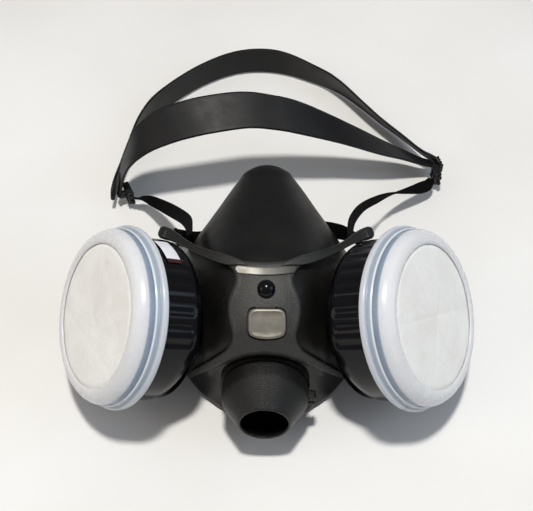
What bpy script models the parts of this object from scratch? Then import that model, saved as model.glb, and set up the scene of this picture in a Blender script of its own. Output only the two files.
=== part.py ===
"""Half-face respirator with two round cartridges, lying face up on a table.

World frame: metres, +Z up, the table is z = 0, the wearer's chin is towards -Y and the head
straps trail towards +Y. The mask frame (x to the right, y from chin to nose, z out of the
front) is tilted back so that the chin and the cheeks rest on the table.
"""

import math

import bmesh
import bpy
from mathutils import Matrix, Vector

MM = 0.001

# ---------------------------------------------------------------- driving dimensions
MASK_TILT = math.radians(29.0)      # front axis leans this far from straight up
MASK_HEIGHT = 41.3 * MM             # mask origin above the table
TABLE_SHIFT_Y = -90.4 * MM          # puts the middle of the whole object at y = 0
HARNESS_HEIGHT = -0.3 * MM          # zero height of the harness stations

CARTRIDGE_TURN_OUT = math.radians(51.0)   # cartridge axis, outwards from the front axis
CARTRIDGE_X = 69.1 * MM
CARTRIDGE_Z = 11.3 * MM

VALVE_TURN_DOWN = math.radians(55.0)      # exhalation valve axis, down from the front axis
VALVE_Y = -32.8 * MM
VALVE_Z = 4.7 * MM

RUBBER_WALL = 2.0 * MM
YOKE_THICKNESS = 2.6 * MM
BAND_THICKNESS = 1.6 * MM
STRAP_THICKNESS = 1.2 * MM
GAP = 0.3 * MM                      # clearance between touching pieces

BODY_RADIUS = 39.5
ROUND = 36                          # segments of the large turned pieces
RING = 28                           # segments of bores, rings and pads inside
SMALL_ROUND = 20

# ---------------------------------------------------------------- facepiece form, in mm
# One row across the right half from the centre line to the sealing lip, from nose to chin.
FACE_ROWS = (
    ((0, 86, -20), (4.5, 85.6, -20.4), (8.5, 84.2, -21.6), (12, 81.6, -23.8), (15, 78, -26.2), (17.5, 74.5, -28.5)),
    ((0, 73.5, -9.5), (8, 72.8, -11), (14, 71, -15), (18.5, 69, -20), (22, 67, -26), (24.3, 65.5, -31.5)),
    ((0, 58, 3.5), (12, 57.3, 0.5), (21, 56, -6), (28, 54, -15), (32.8, 52, -25.5), (35, 50.5, -35.5)),
    ((0, 41.5, 16.5), (14.5, 40.8, 13), (27, 39.5, 4.5), (37.5, 38, -7.5), (43.6, 36.5, -22.5), (45, 35.5, -39)),
    ((0, 24, 29.3), (15, 23.5, 28), (28, 22, 17.5), (44, 20.5, -3), (54, 18.5, -23), (53.5, 17.5, -43.5)),
    ((0, 6, 32), (16.5, 6, 31), (28, 4, 19), (47, 1, -6), (60, -1, -26), (57.5, -1, -47.4)),
    ((0, -14, 31), (17, -13.5, 28), (29, -14, 16.5), (44, -14.5, -6), (55, -14, -24), (52, -13, -41.2)),
    ((0, -22, 17), (14, -22, 16), (27, -21.5, 9), (39, -21, -6), (47, -20.5, -20), (46.5, -20.5, -36.6)),
    ((0, -30, 5.2), (13, -30, 4.2), (24.5, -29, -2), (34, -28, -13), (40.5, -27.5, -22), (41, -27, -32.6)),
    ((0, -38.6, -7.1), (12, -38.3, -8), (22, -36.8, -12), (30.5, -34.8, -18), (36, -33, -23), (37, -32.5, -29.5)),
    ((0, -45.8, -13.4), (10.5, -44.3, -14.3), (19.5, -41.4, -16.7), (26.5, -39, -19.5), (32, -36.6, -22.8),
     (34, -35, -27)),
    ((0, -56, -16.8), (9, -53.8, -17.4), (17, -48.8, -19.7), (24, -43.5, -22.2), (29.5, -39.5, -24.7),
     (33, -36.3, -27)),
)
SEAL_FOLD = 4.0                     # first step of the sealing flange, inwards from the lip
SEAL_WIDTH = 11.0                   # whole width of the sealing flange

# ---------------------------------------------------------------- yoke outline, right half, in mm
YOKE_OUTLINE = (
    (0, 24.2), (9, 24.8), (13.5, 26), (17, 27.4), (17, 22.2), (14.6, 19.6), (13.3, 16.5),
    (14, 13.2), (16, 9.5), (17.2, 5), (17.2, 0), (16, -4.5), (14.6, -9), (15, -12.5), (18, -16.3),
    (24, -19.4), (31, -22.4), (39, -25.4), (39.5, -28.5), (31, -26), (24, -24), (16, -21.2), (8, -19), (0, -18.2),
)
# Arm of the yoke: centre point, half width across, in mm; a thin bar, then a flat paddle.
YOKE_ARM = (
    ((10, 24.0, 29.0), 1.0), ((14.5, 25.0, 28.0), 1.7), ((20, 26.3, 24.8), 2.4), ((26, 28.6, 21.4), 2.4),
    ((33, 32.0, 16.8), 1.8),
    ((39.5, 36.2, 12.2), 1.8), ((44, 39.4, 8.7), 2.3), ((48.5, 41.8, 5.4), 3.1), ((52.6, 43.6, 2.4), 3.1),
)

# ---------------------------------------------------------------- head harness, in mm
# Each station is a centre point and a half-width vector, both from the foot of the mask.
FRONT_BAND = (
    ((-90, 111.2, 8.6), (-0.9, 2, -0.4)), ((-88.5, 114.2, 13.5), (-0.9, 3.2, -1)),
    ((-85.7, 116.8, 25), (-1.8, 6.8, -2)), ((-80.6, 118, 35.5), (-2.2, 8.7, -1.2)),
    ((-72, 120, 47), (-4, 8.5, 2.5)), ((-60.5, 121.5, 54.5), (-5, 8.4, 4.5)), ((-49, 123, 58.5), (-5, 8.4, 5.3)),
    ((-34, 125.5, 61), (-3.5, 8.7, 6)), ((-12.8, 130, 60.5), (-2.5, 8.7, 6)), ((4, 132, 56.5), (-2, 8.7, 5.7)),
    ((18, 133, 51.5), (0, 9, 4.4)), ((41, 135, 39.5), (0, 9, 1.5)), ((66, 136, 25.5), (1, 8.5, -2)),
    ((80, 136.5, 18.5), (1, 7, -3)), ((91, 136.5, 13), (0.8, 4.6, -2)), ((98, 136.4, 10.6), (0.3, 3.6, -1.2)),
)
REAR_BAND = (
    ((-93.3, 107.6, 10.4), (0, 0.6, 2.8)), ((-93, 110.5, 11), (0, 0.8, 4.2)), ((-92.1, 121, 11), (0.5, -2, 6.5)),
    ((-90, 131, 10.8), (0.7, -3, 8.5)),
    ((-87.5, 147, 10.6), (1, -3, 9.4)), ((-81.7, 172, 10.6), (0.5, -1, 9.8)), ((-71, 193, 10.6), (0.3, -0.6, 9.8)),
    ((-46.6, 218, 10.4), (0, -0.5, 9.8)), ((-20.5, 232, 10.4), (0, 0, 9.8)), ((6.3, 231.5, 10.4), (0, 0, 9.8)),
    ((32.7, 217.1, 10.2), (0, -2.5, 9.5)), ((46.4, 206.4, 9.8), (-1, -3.8, 9.2)), ((59.1, 191, 9.4), (-1.5, -5, 8.6)),
    ((70.9, 175.7, 9.1), (-1.5, -5.8, 8.1)), ((82.5, 162.2, 9), (-1.5, -5.8, 7.5)), ((93.4, 147.6, 10), (-1.2, -4.5, 6)),
    ((99.2, 141.2, 11), (-0.5, -2.5, 4.5)), ((102.5, 136.6, 11), (0, -0.8, 4)), ((104.4, 131.8, 10.4), (0.3, -0.4, 2.6)),
)
STRAP_LEFT = (
    ((-38.3, 34.6, 64.3), (1.5, -1.3, 3.2)), ((-39.3, 44.9, 57.3), (1.8, -1, 3.2)),
    ((-43.1, 61.2, 45.3), (2.8, 0.6, 2.5)), ((-51.7, 79.4, 30.3), (2.6, 2, 1.9)), ((-61.4, 94.3, 19.3), (1.8, 3.3, 0.5)),
    ((-69.7, 103.9, 12.8), (0.4, 3.8, -0.1)), ((-74.8, 107.9, 10.3), (-0.2, 3.3, -1.9)),
    ((-78.5, 108.6, 9.4), (-0.1, 2.5, -2.9)),
)
STRAP_RIGHT = (
    ((41.7, 34.4, 64.3), (-1.4, -1.8, 3)), ((42.5, 42.8, 59.3), (-1.6, -1.7, 3)), ((45.1, 57.8, 50.3), (-1.9, -0.9, 3.1)),
    ((51.4, 74.5, 40.3), (-1.9, -0.5, 3.2)), ((60.8, 89.1, 30.3), (-1.2, -0.7, 3.6)),
    ((70.2, 100.5, 22.3), (-0.1, -1.9, 3.3)), ((80.2, 108.8, 15.8), (0.1, -3.4, 1.7)),
    ((90.2, 115.5, 11.3), (0.3, -3.6, -1.2)), ((95.6, 120, 9.3), (1.6, -3.4, -0.3)),
    ((98.2, 125, 8.9), (1.2, -2.9, 2)),
)
# Neck strap in the mask frame: from arm to arm, passing under the raised nose.
NECK_STRAP = (
    ((-44, 41.5, 2), (-0.6, 3.6, 2)), ((-46.5, 43.5, -12), (-0.8, 4.4, 1.2)), ((-46.5, 46, -28), (-0.8, 4.6, 0.6)),
    ((-38, 47.5, -43), (0, 4.6, 1)), ((-20, 50.5, -47.5), (0, 4.6, 0.6)), ((0, 53, -48.5), (0, 4.6, 0.6)),
    ((25, 54, -44.5), (0, 4.6, 0.6)), ((40, 49.5, -30), (-1, 4.2, 0.6)), ((46.6, 43.2, -14), (-1, 3.2, 1)),
    ((47.4, 41.2, 0.2), (-0.6, 3.2, 2.2)),
)

BUCKLE_LEFT = (-84.2, 113.6, 8.7)
BUCKLE_RIGHT = (101.1, 128.6, 9.2)

parts = None
cutters = None
materials = {}


# ---------------------------------------------------------------- scene helpers
def start_scene():
    """Empty the scene and make the two collections."""
    global parts, cutters
    for item in list(bpy.data.objects):
        bpy.data.objects.remove(item, do_unlink=True)
    parts = bpy.data.collections.new("respirator")
    cutters = bpy.data.collections.new("cutters")
    bpy.context.scene.collection.children.link(parts)
    bpy.context.scene.collection.children.link(cutters)


def material(name, colour, roughness, metallic=0.0):
    """A Principled material for one kind of surface."""
    made = bpy.data.materials.new(name)
    made.use_nodes = True
    shader = made.node_tree.nodes["Principled BSDF"]
    shader.inputs["Base Color"].default_value = (*colour, 1.0)
    shader.inputs["Roughness"].default_value = roughness
    shader.inputs["Metallic"].default_value = metallic
    materials[name] = made


def frame(name, parent=None, location=(0, 0, 0), rotation=(0, 0, 0)):
    """An empty that carries one axis or one tilted frame."""
    made = bpy.data.objects.new(name, None)
    made.empty_display_size = 0.02
    made.parent = parent
    made.location = location
    made.rotation_euler = rotation
    parts.objects.link(made)
    return made


def place(name, mesh, finish, parent, smooth_angle=35.0):
    """Put a mesh in the model as a named piece."""
    made = bpy.data.objects.new(name, mesh)
    made.parent = parent
    mesh.materials.append(materials[finish])
    mesh.shade_smooth()
    mesh.set_sharp_from_angle(angle=math.radians(smooth_angle))
    parts.objects.link(made)
    return made


def cutter(name, mesh, parent):
    """Put a mesh in the cutters' collection."""
    made = bpy.data.objects.new(name, mesh)
    made.parent = parent
    made.hide_render = True
    made.display_type = "WIRE"
    cutters.objects.link(made)
    return made


def boolean(target, tool, operation):
    """Cut, join or intersect target with tool."""
    change = target.modifiers.new(operation.lower() + "_" + tool.name, "BOOLEAN")
    change.operation = operation
    change.solver = "EXACT"
    change.object = tool


# ---------------------------------------------------------------- mesh helpers
def mesh_from(work, name):
    """Turn a bmesh into a mesh with its faces pointing out."""
    bmesh.ops.recalc_face_normals(work, faces=work.faces)
    made = bpy.data.meshes.new(name)
    work.to_mesh(made)
    work.free()
    return made


def cylinder_mesh(name, radius, low, high, segments, centre=(0, 0), tip_radius=None):
    """A closed cylinder or cone frustum between two heights, in mm."""
    work = bmesh.new()
    middle = Matrix.Translation((centre[0] * MM, centre[1] * MM, (low + high) / 2 * MM))
    top = radius if tip_radius is None else tip_radius
    bmesh.ops.create_cone(
        work, cap_ends=True, segments=segments, radius1=radius * MM, radius2=top * MM,
        depth=(high - low) * MM, matrix=middle,
    )
    return mesh_from(work, name)


def box_into(work, centre, size, turn=0.0):
    """Add a box, in mm, turned about z through the origin."""
    shape = Matrix.Diagonal((size[0] * MM, size[1] * MM, size[2] * MM, 1.0))
    spot = Matrix.Translation(Vector(centre) * MM)
    bmesh.ops.create_cube(work, size=1.0, matrix=Matrix.Rotation(turn, 4, "Z") @ spot @ shape)


def turned(name, profile, finish, parent, segments=ROUND):
    """A solid of revolution about the parent's z axis from a closed (radius, height) loop."""
    work = bmesh.new()
    corners = []
    for radius, height in profile:
        corners.append(work.verts.new((radius * MM, 0, height * MM)))
    on_axis = profile[0][0] == 0 and profile[-1][0] == 0
    count = len(corners) - 1 if on_axis else len(corners)
    for i in range(count):
        work.edges.new((corners[i], corners[(i + 1) % len(corners)]))
    mesh = bpy.data.meshes.new(name)
    work.to_mesh(mesh)
    work.free()
    made = place(name, mesh, finish, parent)
    spin = made.modifiers.new("turn", "SCREW")
    spin.steps = segments
    spin.render_steps = segments
    spin.use_merge_vertices = True
    spin.merge_threshold = 0.00001
    spin.use_smooth_shade = True
    return made


def catmull_rom(a, b, c, d, t):
    """Point between b and c on a smooth curve through the four points."""
    return 0.5 * (
        2 * b + (c - a) * t + (2 * a - 5 * b + 4 * c - d) * t * t + (3 * b - a - 3 * c + d) * t * t * t
    )


def smooth_stations(stations, steps):
    """Resample (centre, half width) stations along one smooth curve."""
    pairs = [(Vector(centre), Vector(half)) for centre, half in stations]
    found = []
    for i in range(len(pairs) - 1):
        four = [pairs[max(i - 1, 0)], pairs[i], pairs[i + 1], pairs[min(i + 2, len(pairs) - 1)]]
        for k in range(steps):
            centre = catmull_rom(*[item[0] for item in four], k / steps)
            half = catmull_rom(*[item[1] for item in four], k / steps)
            found.append((centre, half))
    found.append(pairs[-1])
    return found


def ribbon_mesh(name, stations, steps):
    """An open strip, two quads wide, through the stations, in mm."""
    work = bmesh.new()
    rows = []
    for centre, half in smooth_stations(stations, steps):
        row = [work.verts.new((centre + half * side) * MM) for side in (-1, 0, 1)]
        rows.append(row)
    for near, far in zip(rows, rows[1:]):
        for i in range(2):
            work.faces.new((near[i], near[i + 1], far[i + 1], far[i]))
    return mesh_from(work, name)


def ribbon(name, stations, thickness, finish, parent, steps=2):
    """A flat flexible strip of even thickness."""
    made = place(name, ribbon_mesh(name, stations, steps), finish, parent)
    wall = made.modifiers.new("thickness", "SOLIDIFY")
    wall.thickness = thickness
    wall.offset = 0.0
    return made


def flat_outline(name, points, low, high, parent=None):
    """A closed flat outline in mm, made a solid mesh between two heights."""
    curve = bpy.data.curves.new(name + "_outline", "CURVE")
    curve.dimensions = "2D"
    curve.fill_mode = "BOTH"
    curve.extrude = (high - low) / 2 * MM
    line = curve.splines.new("POLY")
    line.points.add(len(points) - 1)
    for point, (x, y) in zip(line.points, points):
        point.co = (x * MM, y * MM, 0, 1)
    line.use_cyclic_u = True
    holder = bpy.data.objects.new(name + "_outline", curve)
    parts.objects.link(holder)
    bpy.context.view_layer.update()
    seen = holder.evaluated_get(bpy.context.evaluated_depsgraph_get())
    mesh = bpy.data.meshes.new_from_object(seen)
    work = bmesh.new()
    work.from_mesh(mesh)
    bmesh.ops.remove_doubles(work, verts=work.verts, dist=0.00001)
    bmesh.ops.translate(work, verts=work.verts, vec=(0, 0, (low + high) / 2 * MM))
    bmesh.ops.recalc_face_normals(work, faces=work.faces)
    work.to_mesh(mesh)
    work.free()
    mesh.name = name
    bpy.data.objects.remove(holder, do_unlink=True)
    return mesh


def both_halves(outline):
    """Mirror a right-half outline, whose ends lie on the centre line, to a whole one."""
    left = [(-x, y) for x, y in reversed(outline) if x > 0]
    return list(outline) + left


# ---------------------------------------------------------------- facepiece
def seal_step(point, reach):
    """Where the sealing flange lies, reach mm inwards from a lip point in mm."""
    x, y, z = point
    inward = Vector((-x, 10 - y, 0))
    inward.normalize()
    to_nose = min(max((y - 20) / 60, 0.0), 1.0)
    to_chin = min(max((-y - 20) / 30, 0.0), 1.0)
    drop = (3.0 - 7.0 * to_nose - 7.5 * to_chin) * reach / SEAL_WIDTH
    return (x + inward.x * reach, y + inward.y * reach, z + drop)


def face_half(with_seal):
    """The coarse right half of the facepiece's outer skin."""
    work = bmesh.new()
    rows = []
    for row in FACE_ROWS:
        rows.append([work.verts.new(Vector(point) * MM) for point in row])
    for near, far in zip(rows, rows[1:]):
        for i in range(len(near) - 1):
            work.faces.new((near[i], far[i], far[i + 1], near[i + 1]))
    if with_seal:
        lip = rows[0] + [row[-1] for row in rows[1:-1]] + list(reversed(rows[-1]))
        edge = lip
        for reach in (SEAL_FOLD, SEAL_WIDTH):
            step = [work.verts.new(Vector(seal_step(vert.co / MM, reach)) * MM) for vert in lip]
            for i in range(len(lip) - 1):
                work.faces.new((edge[i], edge[i + 1], step[i + 1], step[i]))
            edge = step
    return mesh_from(work, "facepiece_half")


def face_skin(made, shrink_up=0.0):
    """Mirror the half and round it off."""
    other = made.modifiers.new("other_half", "MIRROR")
    other.use_clip = True
    other.merge_threshold = 0.0001
    smooth = made.modifiers.new("round", "SUBSURF")
    smooth.levels = 1
    smooth.render_levels = 1
    if shrink_up:
        away = made.modifiers.new("clearance", "DISPLACE")
        away.strength = shrink_up
        away.mid_level = 0.0


def facepiece(mask, axes, valve):
    """Soft rubber facepiece with its sealing flange, two inlet bosses and the valve boss."""
    made = place("facepiece", face_half(with_seal=True), "face_rubber", mask, 60.0)
    face_skin(made)
    wall = made.modifiers.new("wall", "SOLIDIFY")
    wall.thickness = RUBBER_WALL
    wall.offset = -1.0
    wall.use_even_offset = True
    for side, axis in axes.items():
        boss = cylinder_mesh("inlet_boss", 24, -36, -26, RING)
        boolean(made, cutter("inlet_boss_" + side, boss, axis), "UNION")
    boolean(made, cutter("valve_boss", cylinder_mesh("valve_boss", 21.5, -5, -0.5, RING), valve), "UNION")
    for side, axis in axes.items():
        recess = cylinder_mesh("inlet_recess", 22.5, -48, -35.9, RING)
        boolean(made, cutter("inlet_recess_" + side, recess, axis), "DIFFERENCE")
        bore = cylinder_mesh("inlet_bore", 17, -48, -20, RING)
        boolean(made, cutter("inlet_bore_" + side, bore, axis), "DIFFERENCE")
    boolean(made, cutter("valve_bore", cylinder_mesh("valve_bore", 15.6, -16, 6, RING), valve), "DIFFERENCE")


# ---------------------------------------------------------------- yoke and its trim
def yoke_arm_stations(side):
    """Stations of one yoke arm, as points and half widths across its run."""
    points = [Vector((side * x, y, z)) for (x, y, z), _ in YOKE_ARM]
    found = []
    for i, (_, half) in enumerate(YOKE_ARM):
        run = points[min(i + 1, len(points) - 1)] - points[max(i - 1, 0)]
        across = Vector((0.25 * side, 0, 1)).cross(run)
        across.normalize()
        found.append((points[i], across * half * side))
    return found


def yoke(mask, button_hole, badge_pocket):
    """Stiff front yoke: an X-shaped plate over the rubber with two harness arms."""
    made = place("yoke", face_half(with_seal=False), "yoke_plastic", mask, 40.0)
    face_skin(made, shrink_up=GAP)
    wall = made.modifiers.new("wall", "SOLIDIFY")
    wall.thickness = YOKE_THICKNESS
    wall.offset = 1.0
    wall.use_even_offset = True
    outline = cutter("yoke_outline", flat_outline("yoke_outline", both_halves(YOKE_OUTLINE), -20, 60), mask)
    boolean(made, outline, "INTERSECT")
    for side, name in ((1, "right"), (-1, "left")):
        arm = cutter("yoke_arm_" + name, ribbon_mesh("yoke_arm", yoke_arm_stations(side), 2), mask)
        flat = arm.modifiers.new("thickness", "SOLIDIFY")
        flat.thickness = 2.4 * MM
        flat.offset = 0.0
        boolean(made, arm, "UNION")
    boolean(made, button_hole, "DIFFERENCE")
    boolean(made, badge_pocket, "DIFFERENCE")


def badge_outline(grow):
    """Shield outline of the badge, in mm, grown by a margin."""
    wide = 9.0 + grow
    points = [(-wide + 1.5, 7.0 + grow), (wide - 1.5, 7.0 + grow), (wide, 5.5 + grow), (wide, -3.8)]
    for k in range(1, 8):
        turn = math.pi * k / 8
        points.append((wide * math.cos(turn), -3.8 - (3.4 + grow) * math.sin(turn) ** 0.8))
    points += [(-wide, -3.8), (-wide, 5.5 + grow)]
    return points


def title_strip(mask):
    """Slim blank strip bent across the top of the yoke."""
    stations = []
    for k in range(7):
        x = -14 + 28 * k / 6
        bend = (x / 14) ** 2
        stations.append(((x + 0.6, 19.6 + 1.5 * bend, 32.3 - 2.5 * bend), (0, 1.5, -0.5)))
    ribbon("title_strip", stations, 0.5 * MM, "badge_silver", mask, 1)


# ---------------------------------------------------------------- connectors and valves
def connector(side, axis):
    """Hard bayonet connector pressed through the rubber boss, with its valve spokes."""
    made = turned(
        "connector_" + side,
        ((14.5, -16.2), (14.5, -22.2), (21, -22.2), (21, -25.7), (16.7, -25.7), (16.7, -39.5), (11.5, -39.5),
         (11.5, -16.2)),
        "hard_black", axis, RING,
    )
    lugs = bmesh.new()
    for k in range(3):
        box_into(lugs, (15.1, 0, -18.1), (3.0, 7, 2.0), math.radians(120 * k))
    boolean(made, cutter("bayonet_lugs_" + side, mesh_from(lugs, "bayonet_lugs"), axis), "UNION")
    cross = bmesh.new()
    box_into(cross, (0, 0, -38.5), (23.6, 1.6, 2.0))
    spokes = cutter("inhale_spokes_" + side, mesh_from(cross, "inhale_spokes"), axis)
    boolean(made, spokes, "UNION")
    other = bmesh.new()
    box_into(other, (0, 0, -38.5), (23.6, 1.6, 2.0), math.pi / 2)
    boolean(made, cutter("inhale_spokes_b_" + side, mesh_from(other, "inhale_spokes_b"), axis), "UNION")
    hub = cutter("inhale_hub_" + side, cylinder_mesh("inhale_hub", 3.2, -39.5, -37.0, 16), axis)
    boolean(made, hub, "UNION")
    bore = cutter("inhale_hub_bore_" + side, cylinder_mesh("inhale_hub_bore", 1.6, -41, -35, 12), axis)
    boolean(made, bore, "DIFFERENCE")
    turned("port_ring_" + side, ((22, -36.3), (22, -38.8), (17.1, -38.8), (17.1, -36.3)), "hard_black", axis,
           RING)
    turned(
        "inhale_flap_" + side,
        ((0, -35.6), (1.2, -35.6), (1.2, -39.8), (13.6, -39.8), (13.6, -40.6), (0, -40.8)),
        "flap_rubber", axis, SMALL_ROUND,
    )


def exhalation_valve(valve):
    """Valve seat, its rubber flap and the push-on cover with one round outlet."""
    seat = turned(
        "exhalation_valve_seat",
        ((13.8, 2.3), (13.8, 1.5), (19.2, 1.5), (19.2, -0.2), (15.3, -0.2), (15.3, -7.6), (12.6, -7.6),
         (12.6, 2.3)),
        "hard_black", valve, RING,
    )
    for k in range(2):
        bar = bmesh.new()
        box_into(bar, (0, 0, -0.4), (25.8, 1.6, 2.0), math.pi / 2 * k)
        boolean(seat, cutter("exhale_spoke_%d" % (k + 1), mesh_from(bar, "exhale_spoke"), valve), "UNION")
    boolean(seat, cutter("exhale_hub", cylinder_mesh("exhale_hub", 3.2, -1.4, 1.2, 16), valve), "UNION")
    boolean(seat, cutter("exhale_hub_bore", cylinder_mesh("exhale_hub_bore", 1.6, -4, 4, 12), valve), "DIFFERENCE")
    turned(
        "exhale_flap",
        ((0, 4.2), (14.4, 3.4), (14.4, 2.6), (1.2, 2.6), (1.2, -2.6), (0, -2.6)),
        "flap_rubber", valve, SMALL_ROUND,
    )
    cover = turned(
        "valve_cover",
        ((11.2, 21.5), (12.2, 21.5), (12.8, 20.9), (19.9, 10.4), (20.7, 9.0), (20.7, 0.3), (19.6, 0.3),
         (19.6, 8.2), (18.4, 9.6), (11.2, 20.2)),
        "cover_plastic", valve,
    )
    tab = bmesh.new()
    box_into(tab, (22.2, 0, 3.4), (4.6, 6.4, 4.8), math.radians(-10))
    boolean(cover, cutter("cover_tab", mesh_from(tab, "cover_tab"), valve), "UNION")


# ---------------------------------------------------------------- cartridges and filter caps
def cartridge(side, axis):
    """Cartridge shell with grip flutes, its gasket, sorbent bed and retaining grille."""
    shell = turned(
        "cartridge_body_" + side,
        ((BODY_RADIUS - 0.7, 7.5), (BODY_RADIUS, 6.8), (BODY_RADIUS, -17.0), (38.9, -17.6), (38.9, -20.4),
         (37.7, -21.6), (17.4, -21.6), (17.4, -14), (12, -14), (12, -12), (21, -12), (21, -19), (37.3, -19),
         (37.3, 7.5)),
        "gloss_black", axis,
    )
    flutes = bmesh.new()
    for k in range(20):
        spot = Matrix.Rotation(math.radians(18 * k + 6), 4, "Z") @ Matrix.Translation(
            ((BODY_RADIUS + 1.7) * MM, 0, -10.5 * MM))
        bmesh.ops.create_cone(
            flutes, cap_ends=True, segments=6, radius1=2.5 * MM, radius2=2.5 * MM, depth=13 * MM, matrix=spot)
    boolean(shell, cutter("grip_flutes_" + side, mesh_from(flutes, "grip_flutes"), axis), "DIFFERENCE")
    turned("gasket_" + side, ((17.0, -14.3), (17.0, -15.8), (12.4, -15.8), (12.4, -14.3)), "flap_rubber", axis, RING)
    turned(
        "sorbent_bed_" + side,
        ((0, 4.8), (36.9, 4.8), (36.9, -18.6), (21.4, -18.6), (21.4, -11.6), (0, -11.6)),
        "charcoal", axis, RING,
    )
    grille = turned("grille_" + side, ((0, 6.8), (36.9, 6.8), (36.9, 5.2), (0, 5.2)), "hard_black", axis, 36)
    slots = bmesh.new()
    for k in range(10):
        box_into(slots, (21, 0, 6), (22, 5.0, 6), math.radians(36 * k))
    boolean(grille, cutter("grille_slots_" + side, mesh_from(slots, "grille_slots"), axis), "DIFFERENCE")


def filter_cap(side, axis):
    """Snap-on translucent ring that holds the fibre prefilter over the cartridge."""
    turned(
        "filter_cap_" + side,
        ((34.4, 15.2), (37.6, 15.2), (40.4, 14.2), (41.8, 11.8), (42.5, 3.6), (44.1, 2.8), (44.3, 0.9),
         (43.7, 0.3), (40.6, 0.3), (39.9, 1.0), (39.9, 12.4), (38.8, 13.7), (34.4, 13.9)),
        "cap_translucent", axis,
    )
    turned("prefilter_" + side, ((0, 13.4), (37.8, 13.3), (39.3, 11.6), (39.3, 7.9), (0, 7.9)), "filter_fibre", axis,
           ROUND)


def label(axis):
    """Blank rating label on the left cartridge's nose side, bent round the shell."""
    stations = []
    radius = BODY_RADIUS + 0.55
    for k in range(5):
        turn = math.radians(39 + 5.75 * k)
        stations.append(((radius * math.cos(turn), radius * math.sin(turn), -9.2), (0, 0, 3.7)))
    ribbon("label_left", stations, 0.3 * MM, "label_white", axis, 1)


# ---------------------------------------------------------------- head harness
def buckle(name, table, spot, turn, length):
    """Plastic hook buckle between a band end and an elastic strap."""
    work = bmesh.new()
    box_into(work, (0, 0, 0), (4.2, length, 8.6))
    made = place(name, mesh_from(work, name), "hard_black", table)
    made.location = Vector(spot) * MM
    made.rotation_euler = (0, 0, turn)
    slot = bmesh.new()
    for y in (length / 4, -length / 4):
        box_into(slot, (0, y, 0), (8.0, length / 4, 5.6))
    boolean(made, cutter(name + "_slot", mesh_from(slot, name + "_slot"), made), "DIFFERENCE")
    edge = made.modifiers.new("edges", "BEVEL")
    edge.width = 0.5 * MM
    edge.segments = 1
    edge.limit_method = "ANGLE"


def harness(table, mask):
    """Two rubber head bands, two elastic straps, two buckles and the ribbed neck strap."""
    ribbon("front_band", FRONT_BAND, BAND_THICKNESS, "band_rubber", table)
    ribbon("rear_band", REAR_BAND, BAND_THICKNESS, "band_rubber", table)
    ribbon("strap_left", STRAP_LEFT, STRAP_THICKNESS, "elastic", table)
    ribbon("strap_right", STRAP_RIGHT, STRAP_THICKNESS, "elastic", table)
    buckle("buckle_left", table, BUCKLE_LEFT, math.radians(25), 11.0)
    buckle("buckle_right", table, BUCKLE_RIGHT, math.radians(10), 9.4)
    ribbon("neck_strap", NECK_STRAP, STRAP_THICKNESS, "elastic", mask)


def main():
    start_scene()
    material("face_rubber", (0.035, 0.035, 0.037), 0.5)
    material("yoke_plastic", (0.075, 0.075, 0.078), 0.6)
    material("cover_plastic", (0.06, 0.06, 0.062), 0.6)
    material("hard_black", (0.02, 0.02, 0.022), 0.4)
    material("gloss_black", (0.006, 0.006, 0.008), 0.12)
    material("flap_rubber", (0.03, 0.03, 0.032), 0.55)
    material("band_rubber", (0.045, 0.045, 0.05), 0.5)
    material("elastic", (0.02, 0.02, 0.022), 0.85)
    material("cap_translucent", (0.78, 0.8, 0.84), 0.3)
    material("filter_fibre", (0.82, 0.81, 0.76), 0.9)
    material("label_white", (0.85, 0.86, 0.88), 0.5)
    material("badge_silver", (0.62, 0.6, 0.55), 0.35, 0.6)
    material("charcoal", (0.02, 0.02, 0.02), 0.95)

    table = frame("table_frame", None, (0, TABLE_SHIFT_Y, HARNESS_HEIGHT))
    mask = frame("mask_frame", None, (0, TABLE_SHIFT_Y, MASK_HEIGHT), (MASK_TILT, 0, 0))
    valve = frame("valve_axis", mask, (0, VALVE_Y, VALVE_Z), (VALVE_TURN_DOWN, 0, 0))
    axes = {}
    for side, sign in (("left", -1), ("right", 1)):
        axes[side] = frame("cartridge_axis_" + side, mask, (sign * CARTRIDGE_X, 0, CARTRIDGE_Z),
                           (0, sign * CARTRIDGE_TURN_OUT, 0))

    facepiece(mask, axes, valve)

    button = frame("button_axis", mask, (0.9 * MM, 11.0 * MM, 30.6 * MM), (math.radians(-3), 0, 0))
    badge = frame("badge_plane", mask, (1.3 * MM, -4.6 * MM, 32.2 * MM), (math.radians(9), 0, 0))
    hole = cutter("button_hole", cylinder_mesh("button_hole", 2.4, -4, 8, 20), button)
    pocket = cutter("badge_pocket", flat_outline("badge_pocket", badge_outline(0.3), 0.0, 6), badge)
    yoke(mask, hole, pocket)
    turned(
        "yoke_button",
        ((0, 6.6), (1.8, 6.3), (3.2, 5.5), (4.1, 4.2), (4.2, 3.4), (2.0, 3.4), (2.0, 1.0), (0, 1.0)),
        "gloss_black", button, SMALL_ROUND,
    )
    place("badge", flat_outline("badge", badge_outline(0.0), 0.3, 1.3), "badge_silver", badge)
    title_strip(mask)

    for side, axis in axes.items():
        connector(side, axis)
        cartridge(side, axis)
        filter_cap(side, axis)
    label(axes["left"])
    exhalation_valve(valve)
    harness(table, mask)


main()
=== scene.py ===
"""Looks of the half-face respirator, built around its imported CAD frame."""

import math

import bmesh
import bpy
from mathutils import Matrix, Vector, geometry, noise
from mathutils.bvhtree import BVHTree


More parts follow.
